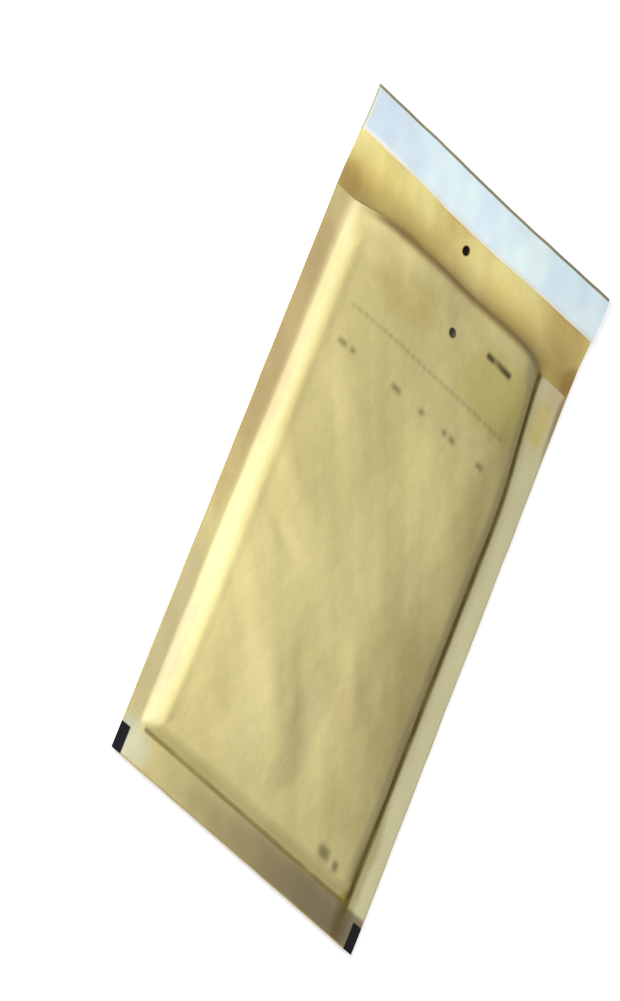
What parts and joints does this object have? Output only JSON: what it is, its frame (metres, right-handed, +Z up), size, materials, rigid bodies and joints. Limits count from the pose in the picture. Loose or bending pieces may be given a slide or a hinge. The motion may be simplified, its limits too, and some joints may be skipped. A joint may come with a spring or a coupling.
{
  "type": "bubble bag",
  "caption": "Padded kraft mailing bag with a bubble-film lining, an open flap with a fastener hole, and a self-seal strip under its release liner.",
  "frame": {"origin": "on the surface it lies on, under the middle of the whole bag with its flap open", "axes": "+X across the bag, +Y along it towards the flap, +Z up out of the front panel"},
  "size_m": [0.14, 0.272, 0.0106],
  "materials": {
    "kraft_paper": "matte brown paper",
    "bubble_film": "clear glossy film",
    "hot_melt_glue": "tacky translucent glue",
    "release_film": "pale blue-white silicone film"
  },
  "bodies": {
    "root": {"kraft_envelope": "kraft_paper", "bubble_lining": "bubble_film", "adhesive_strip": "hot_melt_glue", "release_liner": "release_film"}
  },
  "joints": []
}
